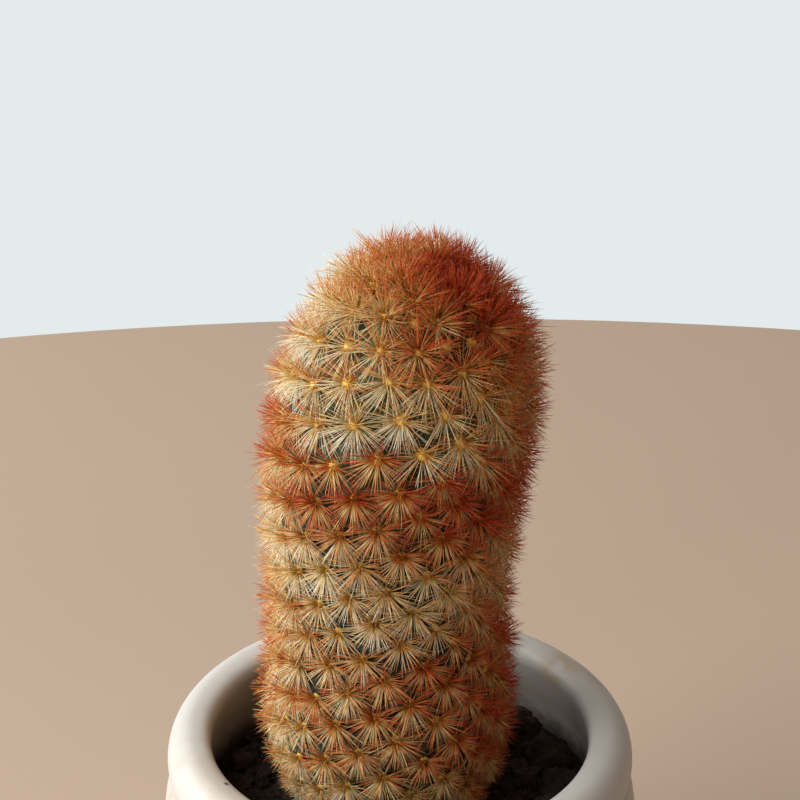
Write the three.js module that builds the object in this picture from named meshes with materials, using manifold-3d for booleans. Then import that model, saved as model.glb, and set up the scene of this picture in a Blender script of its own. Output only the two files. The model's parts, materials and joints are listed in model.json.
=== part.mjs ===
// A potted pincushion cactus: a columnar spiny stem with its roots, the potting mix that holds
// it, and a small glazed pot with a rolled rim.
// Millimetres, +Z up. The origin is the centre of the pot's foot, and the front faces -Y.
import * as THREE from "three";
import { mergeVertices } from "three/addons/utils/BufferGeometryUtils.js";
import Module from "manifold-3d";

const wasm = await Module();
wasm.setup();

// Driving dimensions
const gap = 0.3; // clearance between pieces that touch

const pot = {
  height: 54,
  segments: 44,
  footOuter: 22,
  footInner: 18.5,
  footRecess: 1.5,
  floorTop: 5,
  drainRadius: 4.5,
  bellyRadius: 31.9,
  bellyHeight: 35,
  grooveRadius: 30.3,
  grooveHeight: 47.4,
  rimOuter: 31,
  rimInner: 25.1,
  innerBelly: 28.3,
  innerFloor: 17,
};

const drainMesh = { radius: 9, thickness: 1, hole: 2.2, pitch: 3.2, holesAcross: 5 };

const soil = { top: 42.5, segments: 40, lump: 0.9 };

const stem = {
  height: 75.6, // from the soil to the growing tip, along Z
  domeStart: 56,
  domeRadius: 13.9,
  domePower: 2.3, // a little squarer than a half round, which is 2
  offset: -1.5, // the stem stands a little left of the pot's centre
  leanFrom: 25, // the stem is straight up to here, then leans
  lean: 5.8e-5, // sideways lean, times the cube of the height above leanFrom
  leanForward: 0.35, // the forward lean, as a share of the sideways one
  bottom: -3,
};

// Distance from the stem's axis to the tips of its tubercles, at heights above the soil
const stemOutline = [
  [-4, 8.0],
  [0, 9.8],
  [4, 11.6],
  [8, 13.0],
  [12, 13.8],
  [18, 13.8],
  [24, 13.3],
  [30, 12.8],
  [36, 13.1],
  [44, 13.8],
  [50, 14.0],
  [56, 13.9],
];

// Tubercles follow one spiral from the growing tip down, each turned on from the last by nearly
// the golden angle. Each is lower by the same share of the stem's girth, a little more near the top.
const spiral = {
  turn: THREE.MathUtils.degToRad(-137.458),
  phase: THREE.MathUtils.degToRad(302.4),
  firstArc: 1.85, // from the growing tip to the first tubercle, along the surface
  rise: 0.00303,
  riseTaper: 0.06,
  riseMiddle: 35,
};
const rows = [8, 13, 21]; // the numbers of rows that the eye sees in the spiral
const tubercleDepth = 0.2; // of the stem's radius

const spines = {
  rows: 13,
  reach: 3.7, // from the tubercles out to the spines' tips
  width: 0.84, // of the distance between rows
  topWidth: 0.5, // of the width at the tubercles
  waist: 0.72, // of the size at a tuft, halfway to the next tuft
  lowest: 2.2, // height of the lowest tuft above the soil
};
const crown = { radius: 4.1, flare: 1.25, close: 0.75, reach: 4.4, segments: 18, clearOfRows: 1 };
const skinGap = gap + 0.05; // spines stand this far off the tubercles

const rootCrown = [
  // radius and height, from the soil's surface
  [1.2, -19.4],
  [2.6, -13],
  [5.4, -8],
  [7.8, -3],
];
const roots = {
  count: 5,
  radius: 1.1,
  length: 17,
  sides: 6,
  steps: 7,
  firstStart: -7, // height of the highest root's start
  startStep: -1.6,
  fall: 9,
  wave: 0.9,
  swing: 0.35, // radians that a root turns on its way out
  firstBearing: 0.4,
};
const clodShape = { least: 0.82, spread: 0.3, flatness: 0.85, lift: 0.35 };

// Clods lying on the potting mix: bearing from +X in degrees, distance from the pot's axis, and radius
const clods = [
  [40, 21.4, 3.7],
  [62, 21.6, 2.9],
  [19, 21.5, 3.2],
  [0, 21.3, 2.8],
  [-19, 20.8, 3.1],
  [-41, 21.5, 2.5],
  [-63, 21.3, 2.9],
  [-89, 21.8, 2.4],
  [-118, 21.9, 2.6],
  [-150, 22.6, 2.0],
  [163, 22.6, 1.9],
  [118, 22.0, 2.3],
  [88, 21.4, 2.7],
];

// Colour, roughness and metalness of each material
const glaze = { color: 0xe9e4d8, roughness: 0.25, metalness: 0 };
const netPlastic = { color: 0x2b2c2a, roughness: 0.6, metalness: 0 };
const pottingMix = { color: 0x1d1613, roughness: 0.95, metalness: 0 };
const clodMix = { color: 0x2a1e19, roughness: 0.95, metalness: 0 };
const plantSkin = { color: 0x5f6f45, roughness: 0.7, metalness: 0 };
const spineRust = { color: 0xc8622f, roughness: 0.6, metalness: 0 };
const spineCream = { color: 0xe3c79a, roughness: 0.6, metalness: 0 };
const spineRed = { color: 0xa5301c, roughness: 0.6, metalness: 0 };

const plant = new THREE.Group();

function addPiece(name, geometry, finish) {
  const mesh = new THREE.Mesh(geometry, new THREE.MeshStandardMaterial(finish));
  mesh.name = name;
  plant.add(mesh);
}

// A repeatable random number from 0 to 1
function makeRandom(seed) {
  let state = seed;
  return () => {
    state = (state * 16807) % 2147483647;
    return state / 2147483647;
  };
}

// Solids for cutting and joining
function toSolid(geometry) {
  const bare = geometry.clone();
  bare.deleteAttribute("normal");
  bare.deleteAttribute("uv");
  const merged = mergeVertices(bare, 1e-4);
  return new wasm.Manifold(
    new wasm.Mesh({
      numProp: 3,
      vertProperties: new Float32Array(merged.getAttribute("position").array),
      triVerts: new Uint32Array(merged.index.array),
    }),
  );
}

function toGeometry(solid) {
  const mesh = solid.getMesh();
  const geometry = new THREE.BufferGeometry();
  geometry.setAttribute("position", new THREE.BufferAttribute(mesh.vertProperties, 3));
  geometry.setIndex(new THREE.BufferAttribute(mesh.triVerts, 1));
  geometry.computeVertexNormals();
  return geometry;
}

// A solid of revolution about Z. Its profile is a closed run of [radius, height] points, or one
// that starts and ends on the axis, going up on the outside.
function lathe(profile, segments) {
  const points = profile.map(([radius, height]) => new THREE.Vector2(radius, height));
  return new THREE.LatheGeometry(points, segments).rotateX(Math.PI / 2);
}

function fromPoints(points, faces) {
  const geometry = new THREE.BufferGeometry().setFromPoints(points);
  geometry.setIndex(faces);
  geometry.computeVertexNormals();
  return geometry;
}

// A closed skin over rings of equal count, from the first ring to the last
function skin(rings) {
  const count = rings[0].length;
  const centreOf = (ring) =>
    ring.reduce((sum, point) => sum.add(point), new THREE.Vector3()).divideScalar(count);
  const points = [...rings.flat(), centreOf(rings[0]), centreOf(rings[rings.length - 1])];
  const first = points.length - 2;
  const last = points.length - 1;
  const faces = [];
  for (let side = 0; side < count; side++) {
    const next = (side + 1) % count;
    faces.push(first, next, side);
    for (let ring = 0; ring < rings.length - 1; ring++) {
      const low = ring * count;
      const high = low + count;
      faces.push(low + side, low + next, high + next, low + side, high + next, high + side);
    }
    const top = (rings.length - 1) * count;
    faces.push(last, top + side, top + next);
  }
  return fromPoints(points, faces);
}

// The pot: one fired piece with a rolled rim, a groove below it, a round belly, a foot ring and
// a drain hole.
function potOutside() {
  const body = new THREE.CubicBezierCurve(
    new THREE.Vector2(pot.footOuter + 0.8, 2),
    new THREE.Vector2(pot.footOuter + 5.5, 8),
    new THREE.Vector2(pot.bellyRadius, pot.bellyHeight - 15),
    new THREE.Vector2(pot.bellyRadius, pot.bellyHeight),
  );
  const shoulder = new THREE.CubicBezierCurve(
    new THREE.Vector2(pot.bellyRadius, pot.bellyHeight),
    new THREE.Vector2(pot.bellyRadius, pot.bellyHeight + 6),
    new THREE.Vector2(pot.grooveRadius + 1.2, pot.grooveHeight - 2),
    new THREE.Vector2(pot.grooveRadius, pot.grooveHeight),
  );
  return [...body.getPoints(6), ...shoulder.getPoints(4).slice(1)];
}

function potRim() {
  const outer = new THREE.CubicBezierCurve(
    new THREE.Vector2(pot.grooveRadius, pot.grooveHeight),
    new THREE.Vector2(pot.rimOuter + 0.5, pot.grooveHeight + 1.2),
    new THREE.Vector2(pot.rimOuter + 0.3, pot.height - 0.4),
    new THREE.Vector2(pot.rimOuter - 3, pot.height),
  );
  const inner = new THREE.CubicBezierCurve(
    new THREE.Vector2(pot.rimOuter - 3, pot.height),
    new THREE.Vector2(pot.rimInner + 0.9, pot.height),
    new THREE.Vector2(pot.rimInner, pot.height - 0.5),
    new THREE.Vector2(pot.rimInner, pot.height - 2.2),
  );
  return [...outer.getPoints(6).slice(1), ...inner.getPoints(4).slice(1)];
}

// The inner wall, from below the rim down to the floor
function innerWall() {
  const wall = new THREE.CubicBezierCurve(
    new THREE.Vector2(pot.rimInner + 0.6, pot.height - 6),
    new THREE.Vector2(pot.innerBelly + 0.8, pot.bellyHeight + 4),
    new THREE.Vector2(pot.innerBelly, pot.floorTop + 12),
    new THREE.Vector2(pot.innerFloor, pot.floorTop),
  );
  return wall.getPoints(6);
}

// The radius of the inner wall at a height
function wallRadius(height) {
  const wall = innerWall().reverse();
  const above = Math.max(1, wall.findIndex((point) => point.y >= height));
  const [low, high] = [wall[above - 1], wall[above]];
  return THREE.MathUtils.mapLinear(height, low.y, high.y, low.x, high.x);
}

function makePot() {
  const toPair = (point) => [point.x, point.y];
  const profile = [
    [pot.drainRadius, pot.footRecess],
    [pot.footInner - 0.6, pot.footRecess],
    [pot.footInner, 0],
    [pot.footOuter, 0],
    ...potOutside().map(toPair),
    ...potRim().map(toPair),
    ...innerWall().map(toPair),
    [pot.drainRadius, pot.floorTop],
    [pot.drainRadius, pot.footRecess],
  ];
  return lathe(profile, pot.segments);
}

// A plastic net over the drain hole keeps the potting mix in
function makeDrainMesh() {
  const bottom = pot.floorTop + gap;
  const disc = new THREE.CylinderGeometry(
    drainMesh.radius,
    drainMesh.radius,
    drainMesh.thickness,
    24,
  ).rotateX(Math.PI / 2);
  disc.translate(0, 0, bottom + drainMesh.thickness / 2);
  let net = toSolid(disc);
  const middle = (drainMesh.holesAcross - 1) / 2;
  for (let column = 0; column < drainMesh.holesAcross; column++) {
    for (let row = 0; row < drainMesh.holesAcross; row++) {
      const x = (column - middle) * drainMesh.pitch;
      const y = (row - middle) * drainMesh.pitch;
      if (Math.hypot(x, y) > drainMesh.radius - drainMesh.hole) continue;
      const hole = new THREE.BoxGeometry(drainMesh.hole, drainMesh.hole, drainMesh.thickness * 3);
      hole.translate(x, y, bottom);
      net = net.subtract(toSolid(hole));
    }
  }
  return toGeometry(net);
}

// The stem's axis and outline, at a height above the soil
function axisPoint(height) {
  const lean = stem.lean * Math.max(0, height - stem.leanFrom) ** 3;
  return new THREE.Vector3(stem.offset + lean, -stem.leanForward * lean, soil.top + height);
}

function axisDirection(height) {
  return axisPoint(height + 0.05).sub(axisPoint(height - 0.05)).normalize();
}

function stemRadius(height) {
  if (height >= stem.domeStart) {
    const rise = (height - stem.domeStart) / (stem.height - stem.domeStart);
    return stem.domeRadius * Math.max(0, 1 - rise ** stem.domePower) ** (1 / stem.domePower);
  }
  let step = 1;
  while (step < stemOutline.length - 1 && stemOutline[step][0] < height) step++;
  const [lowHeight, lowRadius] = stemOutline[step - 1];
  const [highHeight, highRadius] = stemOutline[step];
  const share = (height - lowHeight) / (highHeight - lowHeight);
  return THREE.MathUtils.lerp(lowRadius, highRadius, share);
}

// A point on the stem at a height and bearing, raised from the surface by lift. It comes with the
// outward direction there, and the directions down and round the stem.
function stemPlace(height, bearing, lift) {
  const up = axisDirection(height);
  const side = new THREE.Vector3(1, 0, 0).addScaledVector(up, -up.x).normalize();
  const front = up.clone().cross(side);
  const out = side.multiplyScalar(Math.cos(bearing)).addScaledVector(front, Math.sin(bearing));
  const taper = (stemRadius(height - 0.1) - stemRadius(height + 0.1)) / 0.2;
  const normal = out.clone().addScaledVector(up, taper).normalize();
  const round = up.clone().cross(out).normalize();
  const point = axisPoint(height).addScaledVector(out, stemRadius(height));
  point.addScaledVector(normal, lift);
  return { point, normal, round, down: round.clone().cross(normal).negate() };
}

// How far the spiral drops from one tubercle to the next, as a share of the stem's girth
function riseAt(height) {
  return spiral.rise * (1 + (spiral.riseTaper * (height - spiral.riseMiddle)) / spiral.riseMiddle);
}

// The height of each tubercle, counted from the growing tip down to a height
function tubercleHeights(lowest) {
  const heights = [];
  const step = 0.002;
  let height = stem.height - step;
  let arc = Math.hypot(stemRadius(height), step);
  let turns = 0;
  while (height > lowest) {
    const radius = stemRadius(height);
    const dropped = Math.hypot(stemRadius(height - step) - radius, step);
    if (arc > spiral.firstArc) {
      turns += dropped / (2 * Math.PI * radius * riseAt(height));
      if (turns >= heights.length) heights.push(height);
    }
    arc += dropped;
    height -= step;
  }
  return heights;
}

const heights = tubercleHeights(stem.bottom);
const bearingOf = (index) => spiral.phase + spiral.turn * index;
const rowTurn = spiral.turn * spines.rows;
const rowSwing = rowTurn - 2 * Math.PI * Math.round(rowTurn / (2 * Math.PI)); // from tuft to tuft

// The stem's skin: each tubercle is a cone whose foot meets its neighbours' feet in the middle
// of the triangles between their tips.
function makeStemSkin(lift) {
  const tips = heights.map((height, index) => stemPlace(height, bearingOf(index), lift).point);
  const points = [...tips];
  const faces = [];
  const [short, middle, long] = rows;
  const count = tips.length;
  for (let index = 0; index + long < count; index++) {
    const corners = [
      [index, index + long, index + short],
      [index, index + middle, index + long],
    ];
    for (const [a, b, c] of corners) {
      const height = (heights[a] + heights[b] + heights[c]) / 3;
      const centre = tips[a].clone().add(tips[b]).add(tips[c]).divideScalar(3);
      const depth = tubercleDepth * stemRadius(height);
      const valley = centre.lerp(axisPoint(height), depth / stemRadius(height));
      points.push(valley);
      const foot = points.length - 1;
      faces.push(b, a, foot, c, b, foot, a, c, foot);
    }
  }
  const tip = points.push(axisPoint(stem.height).addScaledVector(axisDirection(stem.height), lift)) - 1;
  const end = points.push(axisPoint(stem.bottom - 1)) - 1;
  // The first and last rows are closed by fans from the tip and from the foot of the stem
  for (let index = 0; index < middle; index++) {
    faces.push(index + short, index, tip);
    faces.push(count - 1 - index - short, count - 1 - index, end);
  }
  for (let index = 0; index < short; index++) {
    faces.push(index, index + middle, tip);
    faces.push(count - 1 - index, count - 1 - index - middle, end);
  }
  return fromPoints(points, faces);
}

// The buried root crown tapers down, and its main roots curve out into the mix
function makeRoots(grow) {
  const centre = axisPoint(0);
  const profile = [
    [0, rootCrown[0][1] - 0.6 - grow],
    ...rootCrown.map(([radius, height]) => [radius + grow, height]),
    [0, 2],
  ];
  const taproot = lathe(profile, 16).translate(centre.x, centre.y, soil.top);
  let solid = toSolid(taproot);
  for (let index = 0; index < roots.count; index++) {
    const bearing = (index / roots.count) * 2 * Math.PI + roots.firstBearing;
    const start = roots.firstStart + roots.startStep * index;
    const rings = [];
    for (let step = 0; step <= roots.steps; step++) {
      const share = step / roots.steps;
      const out = 1 + roots.length * share;
      const drop = start - roots.fall * share ** 1.5 + roots.wave * Math.sin(5 * share + index);
      const swing = bearing + roots.swing * share;
      const middle = new THREE.Vector3(
        centre.x + out * Math.cos(swing),
        centre.y + out * Math.sin(swing),
        soil.top + drop,
      );
      const radius = roots.radius * (1.2 - 0.75 * share) + grow;
      const across = new THREE.Vector3(-Math.sin(swing), Math.cos(swing), 0);
      const ring = [];
      for (let side = 0; side < roots.sides; side++) {
        const angle = (side / roots.sides) * 2 * Math.PI;
        const point = middle.clone().addScaledVector(across, radius * Math.cos(angle));
        point.z += radius * Math.sin(angle);
        ring.push(point);
      }
      rings.push(ring);
    }
    solid = solid.add(toSolid(skin(rings)));
  }
  return solid;
}

function makeStem(grow) {
  return toSolid(makeStemSkin(grow)).add(makeRoots(grow));
}

// A row of spine tufts, one on each tubercle along a spiral row. The row is widest and
// highest at each tuft.
function makeSpineRow(first) {
  const step = spines.rows;
  const rings = [];
  const addRing = (height, bearing, along, size) => {
    const { point, normal } = stemPlace(height, bearing, skinGap);
    const across = along.clone().cross(normal).normalize();
    const half = (spines.width * rowSpacing(height) * size) / 2;
    const top = spines.topWidth * half;
    const reach = spines.reach * (0.55 + 0.45 * size);
    const corner = (side, lift) =>
      point.clone().addScaledVector(across, side).addScaledVector(normal, lift);
    rings.push([corner(-half, 0), corner(-top, reach), corner(top, reach), corner(half, 0)]);
  };
  let index = first;
  while (index + step < heights.length && heights[index + step] > spines.lowest) {
    const here = stemPlace(heights[index], bearingOf(index), 0).point;
    const next = stemPlace(heights[index + step], bearingOf(index + step), 0).point;
    const along = next.sub(here).normalize();
    addRing(heights[index], bearingOf(index), along, 1);
    const between = (heights[index] + heights[index + step]) / 2;
    addRing(between, bearingOf(index) + rowSwing / 2, along, spines.waist);
    index += step;
  }
  rings.pop();
  return skin(rings);
}

// The distance between neighbouring spine rows, across them
function rowSpacing(height) {
  const girth = 2 * Math.PI * stemRadius(height);
  const drop = girth * riseAt(height);
  const step = Math.hypot(drop * spines.rows, stemRadius(height) * rowSwing);
  return (girth * drop) / step;
}

// The tuft of newest spines at the growing tip
function makeCrownTuft() {
  const up = axisDirection(stem.height);
  const rings = [];
  const lifts = [skinGap, crown.reach * 0.6, crown.reach];
  const widths = [1, crown.flare, crown.close];
  const base = heightAtRadius(crown.radius);
  for (let ring = 0; ring < lifts.length; ring++) {
    const points = [];
    for (let side = 0; side < crown.segments; side++) {
      const bearing = (side / crown.segments) * 2 * Math.PI;
      const { point } = stemPlace(base, bearing, 0);
      const centre = axisPoint(base);
      const out = point.clone().sub(centre).multiplyScalar(widths[ring]);
      points.push(centre.add(out).addScaledVector(up, lifts[ring]));
    }
    rings.push(points);
  }
  // The bottom is hollowed to follow the dome under it
  const geometry = skin(rings);
  const position = geometry.getAttribute("position");
  const apex = axisPoint(stem.height).addScaledVector(up, skinGap);
  position.setXYZ(rings.flat().length, apex.x, apex.y, apex.z);
  return geometry;
}

function heightAtRadius(radius) {
  const share = (1 - (radius / stem.domeRadius) ** stem.domePower) ** (1 / stem.domePower);
  return stem.domeStart + (stem.height - stem.domeStart) * share;
}

// A rough lump: an icosahedron with its corners moved in and out
function makeClod([bearing, distance, radius], index, grow) {
  const random = makeRandom(911 + 37 * index);
  const ball = new THREE.IcosahedronGeometry(1, 1);
  ball.deleteAttribute("normal");
  ball.deleteAttribute("uv");
  const merged = mergeVertices(ball, 1e-4);
  const position = merged.getAttribute("position");
  const angle = THREE.MathUtils.degToRad(bearing);
  for (let corner = 0; corner < position.count; corner++) {
    const point = new THREE.Vector3().fromBufferAttribute(position, corner);
    const size = radius * (clodShape.least + clodShape.spread * random());
    point.multiplyScalar(size + grow);
    point.z *= clodShape.flatness;
    position.setXYZ(corner, point.x, point.y, point.z);
  }
  const height = soil.top + clodShape.lift * radius;
  merged.translate(distance * Math.cos(angle), distance * Math.sin(angle), height);
  merged.computeVertexNormals();
  return merged;
}

// The potting mix fills the pot, with a lumpy top and room for the roots and the clods
function makeSoil() {
  const bottom = pot.floorTop + drainMesh.thickness + 2 * gap;
  const edgeTop = soil.top - 0.6;
  const levels = [0, 0.04, 0.12, 0.28, 0.6, 1];
  const ringRadii = [23.5, 20.5, 17.5, 14.5, 11.5, 8, 4];
  const profile = [
    [0, bottom],
    ...levels.map((share) => {
      const height = THREE.MathUtils.lerp(bottom, edgeTop, share);
      return [wallRadius(height) - 1.5 * gap, height];
    }),
    ...ringRadii.map((radius) => [radius, soil.top]),
    [0, soil.top],
  ];
  const body = lathe(profile, soil.segments);
  const position = body.getAttribute("position");
  for (let corner = 0; corner < position.count; corner++) {
    if (position.getZ(corner) < soil.top - 0.01) continue;
    const x = position.getX(corner);
    const y = position.getY(corner);
    const wave = Math.sin(0.9 * x + 1.3) * Math.cos(0.8 * y) + 0.7 * Math.sin(1.7 * x - 1.1 * y);
    position.setZ(corner, soil.top + soil.lump * 0.5 * wave);
  }
  let solid = toSolid(body);
  clods.forEach((clod, index) => {
    solid = solid.subtract(toSolid(makeClod(clod, index, skinGap)));
  });
  return toGeometry(solid.subtract(makeStem(skinGap)));
}

addPiece("pot", makePot(), glaze);
addPiece("drain_mesh", makeDrainMesh(), netPlastic);
addPiece("potting_mix", makeSoil(), pottingMix);
clods.forEach((clod, index) => {
  const name = `soil_clod_${String(index + 1).padStart(2, "0")}`;
  addPiece(name, makeClod(clod, index, 0), clodMix);
});
addPiece("cactus_stem", toGeometry(makeStem(0)), plantSkin);

// Spine rows start where the crown tuft ends
const firstTuft = heights.findIndex((height) => stemRadius(height) > crown.radius + crown.clearOfRows);
for (let row = 0; row < spines.rows; row++) {
  const name = `spine_row_${String(row + 1).padStart(2, "0")}`;
  addPiece(name, makeSpineRow(firstTuft + row), row % 2 === 0 ? spineRust : spineCream);
}
addPiece("crown_spines", makeCrownTuft(), spineRed);

export default plant;
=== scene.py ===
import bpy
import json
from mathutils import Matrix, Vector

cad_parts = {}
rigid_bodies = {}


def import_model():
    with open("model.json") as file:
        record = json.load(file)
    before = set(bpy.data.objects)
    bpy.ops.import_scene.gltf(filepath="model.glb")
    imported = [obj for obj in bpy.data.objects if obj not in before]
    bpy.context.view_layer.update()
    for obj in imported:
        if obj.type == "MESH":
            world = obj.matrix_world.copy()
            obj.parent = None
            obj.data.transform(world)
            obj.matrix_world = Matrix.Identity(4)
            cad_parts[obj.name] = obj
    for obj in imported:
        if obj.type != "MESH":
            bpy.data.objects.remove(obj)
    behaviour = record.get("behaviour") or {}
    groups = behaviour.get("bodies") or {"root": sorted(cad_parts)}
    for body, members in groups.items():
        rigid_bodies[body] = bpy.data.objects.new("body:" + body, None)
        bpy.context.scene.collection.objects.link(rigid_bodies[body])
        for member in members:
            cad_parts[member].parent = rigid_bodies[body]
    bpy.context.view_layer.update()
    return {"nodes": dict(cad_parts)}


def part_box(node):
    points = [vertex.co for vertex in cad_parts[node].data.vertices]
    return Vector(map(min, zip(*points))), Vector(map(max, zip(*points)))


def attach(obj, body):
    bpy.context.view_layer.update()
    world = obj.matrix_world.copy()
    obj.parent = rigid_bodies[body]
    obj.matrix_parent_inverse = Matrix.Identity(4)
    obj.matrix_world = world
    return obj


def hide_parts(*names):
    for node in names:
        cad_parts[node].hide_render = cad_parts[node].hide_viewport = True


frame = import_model()        # pot, potting mix, stem, and the space that each row of spines fills

import json
import math

import bmesh
import bpy
import numpy as np
from mathutils import Vector, noise
from mathutils.geometry import interpolate_bezier
from mathutils.kdtree import KDTree

mm = 0.001


# ---- shader maths ----

class Wire:
    # one shader value: a + b adds a Math node
    def __init__(self, paint, socket):
        self.paint = paint
        self.socket = socket

    def join(self, operation, first, second):
        return self.paint.add("ShaderNodeMath", {"operation": operation}, {0: first, 1: second})

    def __add__(self, other):
        return self.join("ADD", self, other)

    def __radd__(self, other):
        return self.join("ADD", other, self)

    def __sub__(self, other):
        return self.join("SUBTRACT", self, other)

    def __rsub__(self, other):
        return self.join("SUBTRACT", other, self)

    def __mul__(self, other):
        return self.join("MULTIPLY", self, other)

    def __rmul__(self, other):
        return self.join("MULTIPLY", other, self)


class Paint:
    # a material with one Principled shader
    def __init__(self, name, **constants):
        self.material = bpy.data.materials.new(name)
        self.material.use_nodes = True
        self.tree = self.material.node_tree
        self.shader = self.tree.nodes["Principled BSDF"]
        for socket, value in constants.items():
            self.shader.inputs[socket.replace("_", " ")].default_value = value

    def add(self, kind, settings, inputs, output=0):
        node = self.tree.nodes.new(kind)
        for setting, value in settings.items():
            if setting == "stops":
                setStops(node.color_ramp, value)
            else:
                setattr(node, setting, value)
        for socket, value in inputs.items():
            if isinstance(value, Wire):
                self.tree.links.new(value.socket, node.inputs[socket])
            else:
                node.inputs[socket].default_value = value
        return Wire(self, node.outputs[output])

    def objectPlace(self):
        return self.add("ShaderNodeTexCoord", {}, {}, "Object")

    def axes(self, place):
        return [self.add("ShaderNodeSeparateXYZ", {}, {0: place}, axis) for axis in "XYZ"]

    def speckle(self, place, scale, detail=3.0, roughness=0.55):
        sockets = {"Vector": place, "Scale": scale, "Detail": detail, "Roughness": roughness}
        return self.add("ShaderNodeTexNoise", {}, sockets, "Fac")

    def between(self, value, low, high):
        # 0 below low, 1 above high, smooth in between
        sockets = {"Value": value, "From Min": low, "From Max": high}
        return self.add("ShaderNodeMapRange", {"interpolation_type": "SMOOTHSTEP"}, sockets)

    def ramp(self, value, stops):
        return self.add("ShaderNodeValToRGB", {"stops": stops}, {"Fac": value}, "Color")

    def mix(self, factor, first, second):
        sockets = {0: factor, 6: first, 7: second}
        return self.add("ShaderNodeMix", {"data_type": "RGBA"}, sockets, 2)

    def bump(self, height, strength, distance):
        sockets = {"Height": height, "Strength": strength, "Distance": distance}
        normal = self.add("ShaderNodeBump", {}, sockets, "Normal")
        self.feed("Normal", normal)

    def feed(self, socket, value):
        self.tree.links.new(value.socket, self.shader.inputs[socket])


def setStops(ramp, stops):
    while len(ramp.elements) < len(stops):
        ramp.elements.new(0.5)
    for element, (place, colour) in zip(ramp.elements, stops):
        element.position = place
        element.color = colour


def tint(red, green, blue):
    # screen colour, 0 to 255, to the linear colour that shaders use
    linear = []
    for level in (red, green, blue):
        share = level / 255
        linear.append(share / 12.92 if share <= 0.04045 else ((share + 0.055) / 1.055) ** 2.4)
    return (*linear, 1.0)


# ---- modelling helpers ----

def deselectAll():
    if bpy.context.object and bpy.context.object.mode != "OBJECT":
        bpy.ops.object.mode_set(mode="OBJECT")
    bpy.ops.object.select_all(action="DESELECT")


def pick(piece):
    deselectAll()
    piece.select_set(True)
    bpy.context.view_layer.objects.active = piece


def applyAll(piece):
    pick(piece)
    for modifier in list(piece.modifiers):
        bpy.ops.object.modifier_apply(modifier=modifier.name)


def addToScene(name, mesh):
    piece = bpy.data.objects.new(name, mesh)
    bpy.context.scene.collection.objects.link(piece)
    return piece


def copyOfNode(node, name):
    # a node's shape as a piece of its own, with its corners joined
    piece = addToScene(name, frame["nodes"][node].data.copy())
    piece.data.materials.clear()
    pick(piece)
    bpy.ops.object.mode_set(mode="EDIT")
    bpy.ops.mesh.select_all(action="SELECT")
    bpy.ops.mesh.remove_doubles(threshold=0.00001)
    bpy.ops.object.mode_set(mode="OBJECT")
    return piece


def finishPiece(piece, paint, slot, *nodes):
    piece.data.materials.clear()
    piece.data.materials.append(paint.material)
    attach(piece, "root")
    if nodes:
        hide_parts(*nodes)


def repaintNode(node, paint):
    data = frame["nodes"][node].data
    data.materials.clear()
    data.materials.append(paint.material)


# ---- pot ----

pot = {
    "height": 54,
    "steps": 128,
    "foot": [22, 18.5, 1.5],      # outer and inner radius, recess
    "floor": 5,
    "drain": 4.5,
    "belly": [31.9, 35],          # radius, height
    "groove": [30.3, 47.4],
    "rim": [31, 25.1],            # outer and inner radius
    "innerBelly": 28.3,
    "innerFloor": 17,
}


def curvePoints(ends, count):
    corners = [Vector((radius, height, 0)) for radius, height in ends]
    return [(point.x, point.y) for point in interpolate_bezier(*corners, count)]


def potProfile():
    footOuter, footInner, recess = pot["foot"]
    bellyRadius, bellyHeight = pot["belly"]
    grooveRadius, grooveHeight = pot["groove"]
    rimOuter, rimInner = pot["rim"]
    top = pot["height"]
    body = curvePoints([(footOuter + 0.8, 2), (footOuter + 5.5, 8),
                        (bellyRadius, bellyHeight - 15), (bellyRadius, bellyHeight)], 22)
    shoulder = curvePoints([(bellyRadius, bellyHeight), (bellyRadius, bellyHeight + 6),
                            (grooveRadius + 1.2, grooveHeight - 2), (grooveRadius, grooveHeight)], 14)
    roll = curvePoints([(grooveRadius, grooveHeight), (rimOuter + 0.5, grooveHeight + 1.2),
                        (rimOuter + 0.3, top - 0.4), (rimOuter - 3, top)], 18)
    lip = curvePoints([(rimOuter - 3, top), (rimInner + 0.9, top),
                       (rimInner, top - 0.5), (rimInner, top - 2.2)], 14)
    wall = curvePoints([(rimInner + 0.6, top - 6), (pot["innerBelly"] + 0.8, bellyHeight + 4),
                        (pot["innerBelly"], pot["floor"] + 12), (pot["innerFloor"], pot["floor"])], 18)
    start = [(pot["drain"], recess), (footInner - 0.6, recess), (footInner - 0.2, 0.5),
             (footInner + 0.4, 0), (footOuter - 0.6, 0), (footOuter, 0.4), (footOuter + 0.3, 1.2)]
    end = [(pot["drain"] + 0.4, pot["floor"]), (pot["drain"], pot["floor"] - 0.4)]
    return start + body + shoulder[1:] + roll[1:] + lip[1:] + wall + end


def spinProfile(name, profile, steps, closed):
    # the profile stands on the XZ plane and is spun about Z
    bpy.ops.mesh.primitive_plane_add(size=0.01)
    piece = bpy.context.object
    piece.name = name
    bpy.ops.object.mode_set(mode="EDIT")
    shape = bmesh.from_edit_mesh(piece.data)
    bmesh.ops.delete(shape, geom=shape.verts[:], context="VERTS")
    points = [shape.verts.new((radius * mm, 0, height * mm)) for radius, height in profile]
    for first, second in zip(points, points[1:]):
        shape.edges.new((first, second))
    if closed:
        shape.edges.new((points[-1], points[0]))
    bmesh.update_edit_mesh(piece.data)
    bpy.ops.mesh.select_all(action="SELECT")
    bpy.ops.mesh.spin(steps=steps, angle=2 * math.pi, center=(0, 0, 0), axis=(0, 0, 1))
    bpy.ops.mesh.select_all(action="SELECT")
    bpy.ops.mesh.remove_doubles(threshold=0.000005)
    bpy.ops.mesh.normals_make_consistent(inside=False)
    bpy.ops.object.mode_set(mode="OBJECT")
    bpy.ops.object.shade_smooth()
    return piece


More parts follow.
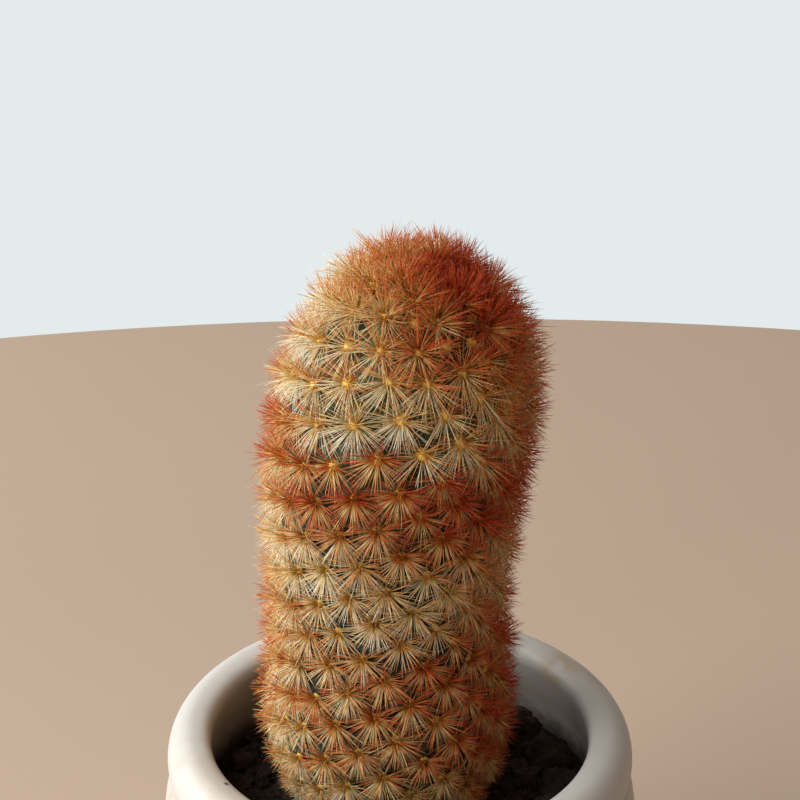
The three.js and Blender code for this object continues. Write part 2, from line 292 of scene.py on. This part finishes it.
def glazePaint():
    paint = Paint("cream_glaze", Specular_IOR_Level=0.4, Coat_Weight=0.12, Coat_Roughness=0.3)
    place = paint.objectPlace()
    x, y, z = paint.axes(place)
    cloud = paint.speckle(place, 45, 4)
    fine = paint.speckle(place, 420, 2)
    cream = paint.ramp(cloud, [(0.3, tint(196, 193, 185)), (0.7, tint(212, 210, 203))])
    # painted shade: the glaze is painted a little darker in the groove
    grooveShade = paint.between(z, 46.2 * mm, 47.4 * mm) * (1 - paint.between(z, 47.4 * mm, 48.8 * mm))
    cream = paint.mix(grooveShade * 0.45, cream, tint(196, 184, 160))
    # uneven beige patches where the glaze is thin
    thin = paint.between(paint.speckle(place, 70, 3), 0.52, 0.66)
    cream = paint.mix(thin * 0.35, cream, tint(178, 160, 132))
    # a faint tea-coloured stain on the rim, behind and to the right
    away = paint.add("ShaderNodeVectorMath", {"operation": "DISTANCE"},
                     {0: place, 1: (22.2 * mm, 14.4 * mm, 53.5 * mm)}, "Value")
    stain = (1 - paint.between(away, 0.8 * mm, 4.6 * mm)) * paint.between(fine, 0.3, 0.6)
    cream = paint.mix(stain * 0.6, cream, tint(186, 148, 84))
    # one dark grain in the glaze on the rim, in front and to the left
    away = paint.add("ShaderNodeVectorMath", {"operation": "DISTANCE"},
                     {0: place, 1: (-22.2 * mm, -14.2 * mm, 53.7 * mm)}, "Value")
    cream = paint.mix(1 - paint.between(away, 0.2 * mm, 0.5 * mm), cream, tint(84, 72, 66))
    # iron specks
    cells = paint.add("ShaderNodeTexVoronoi", {}, {"Vector": place, "Scale": 230.0}, "Distance")
    patch = paint.between(paint.speckle(place, 90, 1), 0.6, 0.66)
    speck = (1 - paint.between(cells, 0.05, 0.11)) * patch
    cream = paint.mix(speck * 0.7, cream, tint(120, 96, 72))
    # on the inner wall above the mix: painted shade, a greyer tone, and splashes of the mix above its surface
    radius = paint.add("ShaderNodeVectorMath", {"operation": "LENGTH"},
                       {0: paint.add("ShaderNodeCombineXYZ", {}, {0: x, 1: y})}, "Value")
    inside = (1 - paint.between(radius, 28.8 * mm, 29.2 * mm)) * paint.between(z, 38 * mm, 40 * mm)
    inside = inside * (1 - paint.between(z, 51 * mm, 52.4 * mm))
    # painted shade: the inner wall above the mix is painted greyer
    cream = paint.mix(inside * 0.35, cream, tint(150, 132, 120))
    splash = inside * (1 - paint.between(z + fine * (6 * mm), 44 * mm, 49 * mm))
    cream = paint.mix(splash * 0.75, cream, tint(74, 54, 42))
    # the foot is left bare
    bare = 1 - paint.between(z + cloud * (0.6 * mm), 1.0 * mm, 1.5 * mm)
    cream = paint.mix(bare, cream, tint(206, 190, 164))
    paint.feed("Base Color", cream)
    paint.feed("Roughness", 0.42 + cloud * 0.12 + bare * 0.35)
    paint.bump(cloud * 0.8 + fine * 0.12, 0.12, 0.5 * mm)
    return paint


print("pot")
deselectAll()
potPiece = spinProfile("glazed_pot", potProfile(), pot["steps"], True)
finishPiece(potPiece, glazePaint(), "glaze", "pot")


# ---- drain net ----

def netPaint():
    paint = Paint("net_plastic", Specular_IOR_Level=0.4)
    grain = paint.speckle(paint.objectPlace(), 900, 2)
    paint.feed("Base Color", paint.ramp(grain, [(0.3, tint(38, 40, 38)), (0.7, tint(58, 60, 56))]))
    paint.feed("Roughness", 0.5 + grain * 0.25)
    paint.bump(grain, 0.3, 0.1 * mm)
    return paint


repaintNode("drain_mesh", netPaint())


# ---- potting mix ----

mix = {
    "top": 42.5,
    "wall": 25.6,                 # crumbs lie inside this radius
    "stem": 11.2,                 # and outside this distance from the stem's axis
    "crumbs": 1500,
    "sizes": [0.35, 1.5],         # radii
    "seed": 7,
}


def mixPaint(name, dark, light):
    paint = Paint(name, Specular_IOR_Level=0.25)
    place = paint.objectPlace()
    coarse = paint.speckle(place, 380, 5, 0.7)
    fine = paint.speckle(place, 1900, 3, 0.6)
    tone = coarse * 0.6 + fine * 0.4
    stops = [(0.36, dark), (0.56, light), (0.72, tint(92, 66, 48))]
    paint.feed("Base Color", paint.ramp(tone, stops))
    paint.feed("Roughness", 0.78 + fine * 0.2)
    paint.bump(tone, 0.9, 0.5 * mm)
    return paint


def roughen(point, size, seed, amount):
    shift = Vector((seed * 3.7, seed * 1.3, seed * 7.1))
    return 1 + amount * noise.fractal(point / size + shift, 0.9, 2.1, 3)


def makeCrumbs():
    # small lumps of the mix all over its top, in one piece
    draw = np.random.default_rng(mix["seed"])
    bpy.ops.mesh.primitive_ico_sphere_add(subdivisions=2, radius=1)
    ball = bpy.context.object
    corners = np.array([tuple(vertex.co) for vertex in ball.data.vertices])
    faces = np.array([tuple(face.vertices) for face in ball.data.polygons])
    bpy.data.objects.remove(ball)
    allPoints = []
    allFaces = []
    axis = axisPoint(0.0)
    while len(allPoints) < mix["crumbs"]:
        bearing = draw.uniform(0, 2 * math.pi)
        distance = math.sqrt(draw.uniform(8 ** 2, mix["wall"] ** 2))
        x, y = distance * math.cos(bearing), distance * math.sin(bearing)
        low, high = mix["sizes"]
        size = low + (high - low) * draw.uniform() ** 2.2
        if math.hypot(x - axis[0], y - axis[1]) < mix["stem"] or distance + size > mix["wall"]:
            continue
        stretch = draw.uniform(0.6, 1.25, 3)
        wobble = 1 + 0.28 * draw.standard_normal(len(corners))[:, None].clip(-1.6, 1.6)
        lump = corners * stretch * wobble * size
        lump += np.array([x, y, mix["top"] + draw.uniform(-0.3, 0.55) * size])
        allFaces.append(faces + len(corners) * len(allPoints))
        allPoints.append(lump)
    mesh = bpy.data.meshes.new("soil_crumbs")
    mesh.from_pydata((np.concatenate(allPoints) * mm).tolist(), [], np.concatenate(allFaces).tolist())
    return addToScene("soil_crumbs", mesh)


def makeClod(node, name, seed):
    # the plain clod, given a craggy surface
    piece = copyOfNode(node, name)
    smoothing = piece.modifiers.new("smoothing", "SUBSURF")
    smoothing.levels = smoothing.render_levels = 2
    applyAll(piece)
    low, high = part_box(node)
    centre = (low + high) / 2
    for vertex in piece.data.vertices:
        out = vertex.co - centre
        size = roughen(vertex.co, 1.7 * mm, seed, 0.32) * roughen(vertex.co, 0.55 * mm, seed, 0.12)
        vertex.co = centre + out * (1.04 * size)
    bpy.ops.object.shade_smooth()
    return piece


# ---- stem ----

stem = {
    "height": 75.6,               # from the mix to the growing tip
    "domeStart": 56,
    "domeRadius": 13.9,
    "domePower": 2.3,
    "offset": -1.5,
    "leanFrom": 25,
    "lean": 5.8e-5,
    "leanForward": 0.35,
    "lowest": -3,
    # height above the mix, and distance from the axis to the tubercles' tips
    "outline": [(-4, 8.0), (0, 9.8), (4, 11.6), (8, 13.0), (12, 13.8), (18, 13.8), (24, 13.3),
                (30, 12.8), (36, 13.1), (44, 13.8), (50, 14.0), (56, 13.9)],
    "plump": 1.25,                # the tubercles' tips are drawn out this far before smoothing
}

spiral = {
    "turn": math.radians(-137.458),
    "phase": math.radians(302.4),
    "firstArc": 1.85,
    "rise": 0.00303,
    "riseTaper": 0.06,
    "riseMiddle": 35,
    "rows": 13,
    "crownRadius": 5.1,           # the spine rows start where the stem is wider than this
    "lowestTuft": 2.2,
}


def axisPoint(height):
    lean = stem["lean"] * max(0.0, height - stem["leanFrom"]) ** 3
    return np.array([stem["offset"] + lean, -stem["leanForward"] * lean, mix["top"] + height])


def stemRadius(height):
    if height >= stem["domeStart"]:
        rise = (height - stem["domeStart"]) / (stem["height"] - stem["domeStart"])
        power = stem["domePower"]
        return stem["domeRadius"] * max(0.0, 1 - rise ** power) ** (1 / power)
    heights, radii = zip(*stem["outline"])
    return float(np.interp(height, heights, radii))


def unit(vector):
    return vector / np.linalg.norm(vector)


def stemPlace(height, bearing):
    # a tubercle's tip, the way out of it, and the ways up and round the stem there
    up = unit(axisPoint(height + 0.05) - axisPoint(height - 0.05))
    side = unit(np.array([1.0, 0, 0]) - up * up[0])
    front = np.cross(up, side)
    out = side * math.cos(bearing) + front * math.sin(bearing)
    taper = (stemRadius(height - 0.1) - stemRadius(height + 0.1)) / 0.2
    normal = unit(out + up * taper)
    around = unit(np.cross(up, out))
    point = axisPoint(height) + out * stemRadius(height)
    return point, normal, np.cross(normal, around), around


def tubercleHeights():
    heights = []
    step = 0.002
    height = stem["height"] - step
    arc = math.hypot(stemRadius(height), step)
    turns = 0.0
    while height > stem["lowest"]:
        radius = stemRadius(height)
        dropped = math.hypot(stemRadius(height - step) - radius, step)
        if arc > spiral["firstArc"]:
            taper = spiral["riseTaper"] * (height - spiral["riseMiddle"]) / spiral["riseMiddle"]
            turns += dropped / (2 * math.pi * radius * spiral["rise"] * (1 + taper))
            if turns >= len(heights):
                heights.append(height)
        arc += dropped
        height -= step
    return heights


def skinPaint():
    paint = Paint("plant_skin", Specular_IOR_Level=0.35)
    place = paint.objectPlace()
    patches = paint.speckle(place, 160, 3)
    dots = paint.speckle(place, 1500, 2)
    z = paint.axes(place)[2]
    old = paint.ramp(patches, [(0.35, tint(26, 28, 18)), (0.65, tint(44, 46, 28))])
    young = paint.ramp(patches, [(0.35, tint(36, 48, 28)), (0.65, tint(66, 82, 50))])
    green = paint.mix(paint.between(z, 92 * mm, 106 * mm), old, young)
    green = paint.mix(paint.between(dots, 0.54, 0.64) * 0.2, green, tint(126, 134, 96))
    corky = 1 - paint.between(z, 41 * mm, 49 * mm)
    green = paint.mix(corky * 0.8, green, tint(104, 84, 58))
    paint.feed("Base Color", green)
    paint.feed("Roughness", 0.5 + dots * 0.25)
    paint.bump(dots * 0.6 + patches * 0.4, 0.35, 0.2 * mm)
    return paint


print("stem")
tubercles = tubercleHeights()
bearings = [spiral["phase"] + spiral["turn"] * index for index in range(len(tubercles))]
places = [stemPlace(height, bearing) for height, bearing in zip(tubercles, bearings)]


def makeStem():
    # the plain stem with plumper tubercles, smoothed into cones
    piece = copyOfNode("cactus_stem", "stem")
    tree = KDTree(len(piece.data.vertices))
    for vertex in piece.data.vertices:
        tree.insert(vertex.co, vertex.index)
    tree.balance()
    tips = []
    for height, (point, normal, up, around) in zip(tubercles, places):
        _, index, distance = tree.find(Vector(point * mm))
        tips.append(index if distance < 0.1 * mm else None)
        if tips[-1] is not None and height > 0:
            drawn = stem["plump"] * stemRadius(height) / stem["domeRadius"]
            piece.data.vertices[index].co += Vector(normal * drawn * mm)
    smoothing = piece.modifiers.new("smoothing", "SUBSURF")
    smoothing.levels = smoothing.render_levels = 2
    applyAll(piece)
    bpy.ops.object.shade_smooth()
    smooth = [np.array(piece.data.vertices[index].co) / mm if index is not None else None for index in tips]
    return piece, smooth


stemPiece, smoothTips = makeStem()
finishPiece(stemPiece, skinPaint(), "plant_skin", "cactus_stem")

print("potting mix")
repaintNode("potting_mix", mixPaint("damp_mix", tint(20, 15, 13), tint(44, 32, 26)))
clodPaint = mixPaint("clod_mix", tint(22, 16, 14), tint(52, 38, 31))
clodNodes = sorted(name for name in frame["nodes"] if name.startswith("soil_clod"))
for number, node in enumerate(clodNodes):
    finishPiece(makeClod(node, node.replace("soil_clod", "clod"), number + 1), clodPaint, "clods", node)
finishPiece(makeCrumbs(), clodPaint, "potting_mix")


# ---- spines ----

spines = {
    "each": [108, 146],           # spines in a full-grown tuft
    "apart": 3.4,                 # near the growing tip only tubercles this far apart have opened
    "thin": 0.14,                 # share of the tufts that have lost many spines
    "thick": 0.062,               # radius at the foot
    "inner": 74,                  # degrees off the stem's surface, innermost spines
    "shadeSideRust": 0.14,                # painted shade: the side to the right, away from the light, is painted rustier by this much
    "bend": 0.13,                 # how far a tip bends back, of the length
    "stray": 0.07,                # how far a tip strays, of the length
    "clumps": 11,                 # the spines bunch a little round the tuft
    "padRadius": [0.6, 0.86],     # of the felt in old and young tufts
    "felt": [0.4, 1.0],           # how high it stands up, of its radius
    "seed": 2024,
}

# by height above the mix: how rusty the spines that point down and up are, from 0 to 1,
# how far the tufts droop, their spines' length, and the outer spines' angle off the surface
zones = [
    (0, 0.08, 0.34, 0.20, 2.6, 4),
    (7, 0.12, 0.50, 0.36, 3.3, 4),
    (14, 0.22, 0.70, 0.50, 4.4, 4),
    (20, 0.30, 0.80, 0.50, 4.8, 4),
    (30, 0.24, 0.76, 0.50, 4.8, 4),
    (34, 0.08, 0.60, 0.50, 4.7, 4),
    (42, 0.02, 0.48, 0.48, 4.7, 4),
    (46, 0.12, 0.70, 0.44, 4.8, 4),
    (49, 0.50, 0.98, 0.38, 5.1, 5),
    (57, 0.54, 0.98, 0.30, 5.2, 5),
    (60, 0.14, 0.70, 0.22, 5.3, 6),
    (65, 0.04, 0.64, 0.12, 5.5, 8),
    (69, 0.20, 0.72, 0.05, 6.0, 14),
    (72, 0.48, 0.80, 0.0, 6.4, 28),
    (75, 0.64, 0.88, 0.0, 6.2, 42),
]

def wallFaces(low, sides):
    # the quads between the ring of corners that starts at low and the next ring
    return [(low + side, low + (side + 1) % sides, low + sides + (side + 1) % sides, low + sides + side)
            for side in range(sides)]


def tipFaces(low, sides):
    # the triangles between the ring that starts at low and the tip that follows it
    return [(low + side, low + (side + 1) % sides, low + sides) for side in range(sides)]


# one spine: three rings of three corners and a tip, closed at the foot
spineFaces = [(0, 2, 1)] + wallFaces(0, 3) + wallFaces(3, 3) + tipFaces(6, 3)
ringStations = [0.0, 0.4, 0.78]   # along the spine
ringWidths = [1.0, 0.82, 0.55]    # of the foot's radius
toneWidth = 0.012                 # a spine's width on the colour map


def smoothStep(value, low, high):
    share = np.clip((value - low) / (high - low), 0, 1)
    return share * share * (3 - 2 * share)


def tuftSpines(draw, point, frameAxes, count, lengths, lifts, tones, sag):
    # corners and colour-map places of one tuft's spines
    out, up, around = frameAxes
    number = np.arange(count)
    layer = (number + draw.uniform(0, 1, count)) / count           # 0 innermost, 1 outermost
    turn = number * 2.39996 + draw.uniform(0, 2 * math.pi) + draw.normal(0, 0.2, count)
    turn += 0.7 / spines["clumps"] * np.sin(spines["clumps"] * turn)
    low, high = np.sin(np.radians(lifts))
    lift = np.arcsin(low + (high - low) * (1 - layer)) + draw.normal(0, 0.1, count)
    length = lengths[0] + (lengths[1] - lengths[0]) * draw.uniform(0, 1, count)
    length *= 0.78 + 0.22 * layer
    flat = np.cos(turn)[:, None] * around + np.sin(turn)[:, None] * up
    aim = np.cos(lift)[:, None] * flat + np.sin(lift)[:, None] * out
    back = -out * spines["bend"] * draw.uniform(0.2, 1.4, count)[:, None]
    back = back + draw.normal(0, spines["stray"], (count, 3)) + np.array([0, 0, -sag])
    foot = point + flat * (0.22 + 0.3 * layer[:, None]) + out * (0.5 - 0.5 * layer[:, None])
    upward = 0.5 + 0.5 * np.sin(turn) * np.cos(lift * 0.7)
    rust = tones[0] + (tones[1] - tones[0]) * smoothStep(upward + 0.18 * np.sin(lift), 0.2, 1.0)
    rust = np.clip(rust + draw.normal(0, 0.11, count), 0.03, 0.97)
    side = np.cross(aim, out)
    side /= np.linalg.norm(side, axis=1)[:, None]
    other = np.cross(aim, side)
    roll = draw.uniform(0, 2 * math.pi, count)
    corners = np.empty((count, 10, 3))
    thick = spines["thick"] * draw.uniform(0.75, 1.15, count)
    for ring, (station, width) in enumerate(zip(ringStations, ringWidths)):
        middle = foot + (aim * station + back * station ** 2) * length[:, None]
        for corner in range(3):
            angle = roll + corner * 2 * math.pi / 3
            spread = np.cos(angle)[:, None] * side + np.sin(angle)[:, None] * other
            corners[:, 3 * ring + corner] = middle + spread * (thick * width)[:, None]
    corners[:, 9] = foot + (aim + back) * length[:, None]
    return corners, rust


def padCorners(point, frameAxes, radius, felt):
    # a dome of felt in the middle of the spines
    out, up, around = frameAxes
    rings = [(1.0, -0.6), (0.85, 0.45 * felt), (0.5, 0.9 * felt)]
    corners = []
    for width, rise in rings:
        for side in range(6):
            angle = side * math.pi / 3
            spread = around * math.cos(angle) + up * math.sin(angle)
            corners.append(point + spread * radius * width + out * radius * rise)
    corners.append(point + out * radius * felt * 1.1)
    return np.array(corners)


padFaces = [tuple(reversed(range(6)))] + wallFaces(0, 6) + wallFaces(6, 6) + tipFaces(12, 6)


def spineMesh(name, tufts, pads):
    points = []
    faces = []
    maps = []
    start = 0
    stationOf = [0.02] * 3 + [ringStations[1]] * 3 + [ringStations[2]] * 3 + [0.98]
    for corners, rust in tufts:
        for spine, tone in zip(corners, rust):
            points.append(spine)
            for face in spineFaces:
                faces.append([start + corner for corner in face])
                if len(face) == 3 and face[0] == 0:
                    places = [(tone - toneWidth, 0.02), (tone + toneWidth, 0.02), (tone, 0.005)]
                else:
                    places = [(tone + ((corner % 3) - 1) * toneWidth, stationOf[corner]) for corner in face]
                maps += places
            start += 10
    for corners in pads:
        points.append(corners)
        for face in padFaces:
            faces.append([start + corner for corner in face])
            middle = np.mean([corners[corner] for corner in face], axis=0)
            for place, corner in enumerate(face):
                angle = place * 2 * math.pi / len(face)
                maps.append((0.3 + 0.02 * math.cos(angle), 0.03 + 0.015 * math.sin(angle)))
        start += len(corners)
    mesh = bpy.data.meshes.new(name)
    mesh.from_pydata((np.concatenate(points) * mm).tolist(), [], faces)
    layer = mesh.uv_layers.new(name="OFBake")
    layer.data.foreach_set("uv", np.array(maps, dtype=np.float32).ravel())
    mesh.polygons.foreach_set("use_smooth", [True] * len(faces))
    mesh.update()
    return addToScene(name, mesh)


def spinePaint():
    paint = Paint("spine_bristle", Specular_IOR_Level=0.35, Roughness=0.42, Subsurface_Weight=0.3,
                  Subsurface_Scale=0.0004, Subsurface_Radius=(1.0, 0.6, 0.3))
    place = paint.add("ShaderNodeUVMap", {"uv_map": "OFBake"}, {}, "UV")
    tone, along, _ = paint.axes(place)
    foot = paint.ramp(tone, [(0.0, tint(255, 218, 114)), (0.6, tint(253, 192, 78)), (1.0, tint(212, 88, 30))])
    shaft = paint.ramp(tone, [(0.0, tint(250, 240, 204)), (0.45, tint(248, 219, 148)),
                              (0.7, tint(238, 180, 100)), (0.87, tint(214, 94, 32)),
                              (1.0, tint(188, 46, 22))])
    tip = paint.ramp(tone, [(0.0, tint(252, 242, 210)), (0.25, tint(243, 204, 128)),
                            (0.45, tint(220, 126, 50)), (0.65, tint(196, 66, 20)),
                            (1.0, tint(168, 28, 12))])
    colour = paint.mix(paint.between(along, 0.03, 0.30), foot, shaft)
    colour = paint.mix(paint.between(along, 0.30, 0.72), colour, tip)
    paint.feed("Base Color", colour)
    return paint


print("spines")
bristle = spinePaint()
zoneHeights, *zoneLooks = (np.array(column, float) for column in zip(*zones))
firstTuft = next(index for index, height in enumerate(tubercles)
                 if stemRadius(height) > spiral["crownRadius"])


# the newest spines, at the growing tip
crown = {
    "radius": 3.6,
    "each": 34,
    "length": [3.0, 4.2],
    "lift": [50, 86],
    "tones": [0.90, 0.98],
}

opened = []
for index in reversed(range(len(tubercles))):
    near = [other for other in opened
            if np.linalg.norm(places[other][0] - places[index][0]) < spines["apart"]]
    if stemRadius(tubercles[index]) > crown["radius"] and not near:
        opened.append(index)


def tuftAt(index, draw):
    height = tubercles[index]
    point, out, up, around = places[index]
    if smoothTips[index] is not None:
        point = smoothTips[index]
    lowRust, highRust, droop, length, spread = (np.interp(height, zoneHeights, look) for look in zoneLooks)
    # painted shade: tufts facing right, away from the light, get rustier tones
    tones = np.array([lowRust, highRust]) + draw.normal(0, 0.06) + spines["shadeSideRust"] * math.cos(bearings[index])
    aim = unit(out - up * droop + draw.normal(0, 0.12, 3))
    point = point + (up * draw.normal(0, 0.22) + around * draw.normal(0, 0.22))
    upward = unit(up - aim * np.dot(up, aim))
    axes = (aim, upward, np.cross(upward, aim))
    size = min(1.0, 0.7 + stemRadius(height) / 40)
    lengths = np.array([0.84, 1.08]) * length * draw.uniform(0.92, 1.06)
    count = draw.integers(*spines["each"])
    if index not in opened:
        count *= 0.35
        lengths *= 0.45
    elif draw.uniform() < spines["thin"]:
        count *= 0.6
    sag = 0.04 if height > 60 else 0.10
    made = tuftSpines(draw, point, axes, int(count), lengths, [spread, spines["inner"]], tones, sag)
    young = smoothStep(height, 46, 60)
    radius, felt = ((1 - young) * old + young * new for old, new in (spines["padRadius"], spines["felt"]))
    return made, padCorners(point, axes, radius * size, felt)


for row in range(spiral["rows"]):
    draw = np.random.default_rng(spines["seed"] + row)
    indices = []
    index = firstTuft + row
    while index < len(tubercles) and tubercles[index] > spiral["lowestTuft"]:
        indices.append(index)
        index += spiral["rows"]
    made = [tuftAt(index, draw) for index in indices]
    piece = spineMesh(f"spines_{row + 1:02d}", [tuft for tuft, _ in made], [pad for _, pad in made])
    finishPiece(piece, bristle, "spines", f"spine_row_{row + 1:02d}")

draw = np.random.default_rng(spines["seed"] + 99)
crownTufts = []
crownPads = []
for index in range(firstTuft):
    point, out, up, around = places[index]
    if stemRadius(tubercles[index]) > crown["radius"]:
        spread, pad = tuftAt(index, draw)
    else:
        spread = tuftSpines(draw, point, (out, up, around), crown["each"], crown["length"], crown["lift"],
                            crown["tones"], 0.0)
        pad = padCorners(point, (out, up, around), 0.25, 0.5)
    crownTufts.append(spread)
    crownPads.append(pad)
finishPiece(spineMesh("crown_tuft", crownTufts, crownPads), bristle, "crown_spines", "crown_spines")


# ---- floor, light and camera ----

print("stage")
studio = {
    "tableRadius": 0.493,
    "tableCentre": (0.0125, -0.2346),
    "table": tint(187, 165, 145),
    "backdrop": tint(228, 235, 236),
    "fillLeft": (0.72, 0.73, 0.72, 1.0),
    "fillRight": (0.15, 0.10, 0.07, 1.0),
    "keyPlace": (-0.60, -0.14, 0.46),
    "keyPower": 9.6,
    "keySize": 0.9,
}
bpy.ops.mesh.primitive_cylinder_add(vertices=256, radius=studio["tableRadius"], depth=0.03,
                                    location=(*studio["tableCentre"], -0.015))
table = bpy.context.object
table.name = "table"
tablePaint = Paint("table_top", Roughness=0.55)
tableGrain = tablePaint.speckle(tablePaint.objectPlace(), 3, 4)
lighter = tuple(min(1.0, level * 1.08) for level in studio["table"])
tablePaint.feed("Base Color", tablePaint.ramp(tableGrain, [(0.3, studio["table"]), (0.7, lighter)]))
table.data.materials.append(tablePaint.material)

# a pale backdrop below the horizon, and above it a room that is lighter on the left
world = bpy.data.worlds.new("studio")
bpy.context.scene.world = world
world.use_nodes = True
sky = world.node_tree
direction = sky.nodes.new("ShaderNodeTexCoord")
parts = sky.nodes.new("ShaderNodeSeparateXYZ")
across = sky.nodes.new("ShaderNodeMapRange")
across.inputs["From Min"].default_value = -0.9
across.inputs["From Max"].default_value = 0.7
room = sky.nodes.new("ShaderNodeMix")
room.data_type = "RGBA"
room.inputs[6].default_value = studio["fillLeft"]
room.inputs[7].default_value = studio["fillRight"]
horizon = sky.nodes.new("ShaderNodeMapRange")
horizon.inputs["From Min"].default_value = -0.2
horizon.inputs["From Max"].default_value = -0.05
whole = sky.nodes.new("ShaderNodeMix")
whole.data_type = "RGBA"
whole.inputs[6].default_value = studio["backdrop"]
sky.links.new(direction.outputs["Generated"], parts.inputs[0])
sky.links.new(parts.outputs["X"], across.inputs["Value"])
sky.links.new(across.outputs[0], room.inputs[0])
sky.links.new(parts.outputs["Z"], horizon.inputs["Value"])
sky.links.new(horizon.outputs[0], whole.inputs[0])
sky.links.new(room.outputs[2], whole.inputs[7])
sky.links.new(whole.outputs[2], sky.nodes["Background"].inputs["Color"])

keyData = bpy.data.lights.new("window", "AREA")
keyData.energy = studio["keyPower"]
keyData.size = studio["keySize"]
key = bpy.data.objects.new("window", keyData)
bpy.context.scene.collection.objects.link(key)
key.location = studio["keyPlace"]
key.rotation_euler = (Vector((0, 0, 0.08)) - key.location).to_track_quat("-Z", "Y").to_euler()

view = {"distance": 0.330, "rimHeight": 0.052, "elevation": 33.2, "tilt": 25.43, "angle": 18.54}
cameraData = bpy.data.cameras.new("camera")
cameraData.angle = math.radians(view["angle"])
cameraData.clip_start = 0.01
camera = bpy.data.objects.new("camera", cameraData)
bpy.context.scene.collection.objects.link(camera)
climb = math.radians(view["elevation"])
camera.location = (0, -view["distance"] * math.cos(climb),
                   view["rimHeight"] + view["distance"] * math.sin(climb))
camera.rotation_euler = (math.radians(90 - view["tilt"]), 0, 0)
bpy.context.scene.camera = camera
bpy.context.scene.view_settings.view_transform = "Standard"

triangles = sum(sum(len(face.vertices) - 2 for face in piece.data.polygons)
                for piece in bpy.context.scene.objects if piece.type == "MESH")
print("triangles", triangles)
